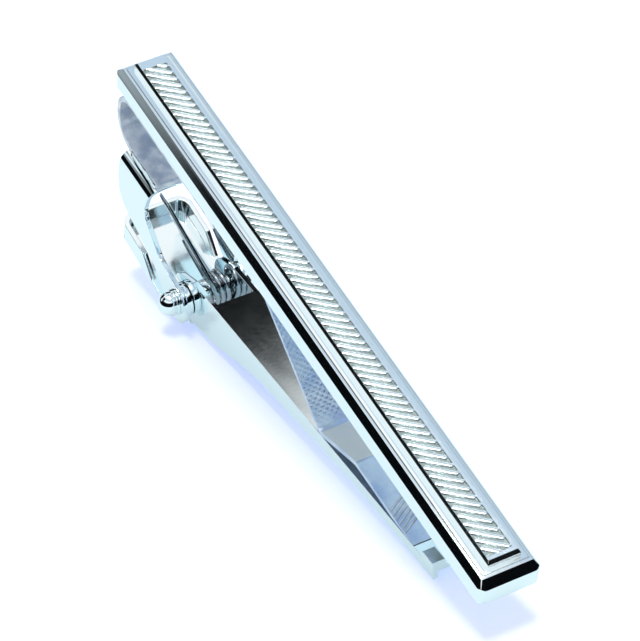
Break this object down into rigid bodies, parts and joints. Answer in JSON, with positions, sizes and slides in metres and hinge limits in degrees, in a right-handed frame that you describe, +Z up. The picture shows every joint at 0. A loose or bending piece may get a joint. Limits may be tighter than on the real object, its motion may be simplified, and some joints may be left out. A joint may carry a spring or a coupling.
{
  "type": "tie clip",
  "caption": "Slim bar tie clip with a raised, diagonally engraved panel and a spring-loaded jaw on a riveted bracket that opens with a thumb tab.",
  "frame": {"origin": "centre of the bar's underside", "axes": "+X along the bar towards the jaw's tip, +Y across the bar parallel to the rivet, +Z up out of the bar's engraved face"},
  "size_m": [0.06, 0.0094, 0.0198],
  "materials": {
    "polished": "bright polished plating",
    "engraved": "bright plating over engraved lines",
    "frosted": "satin plating",
    "wire": "dark spring wire",
    "solder": "dull solder"
  },
  "bodies": {
    "clip_bar": {"bar": "polished", "panel": "engraved", "base_strip": "frosted", "grip_strip": "frosted", "bracket": "polished", "rivet": "polished", "collars": "polished", "spacers": "polished", "sleeve": "polished", "spring": "wire", "solder": "solder"},
    "jaw_lever": {"jaw": "polished", "thumb_tab": "polished"}
  },
  "joints": [
    {"name": "jaw_pivot", "type": "hinge", "parent": "clip_bar", "child": "jaw_lever", "pos_m": [-0.0175, 0, -0.0142], "axis": [0, 1, 0], "range_deg": [0, 11.5], "stiffness_Nm_per_rad": 0.05, "springref_deg": -57.3, "deforming": ["spring"]}
  ]
}
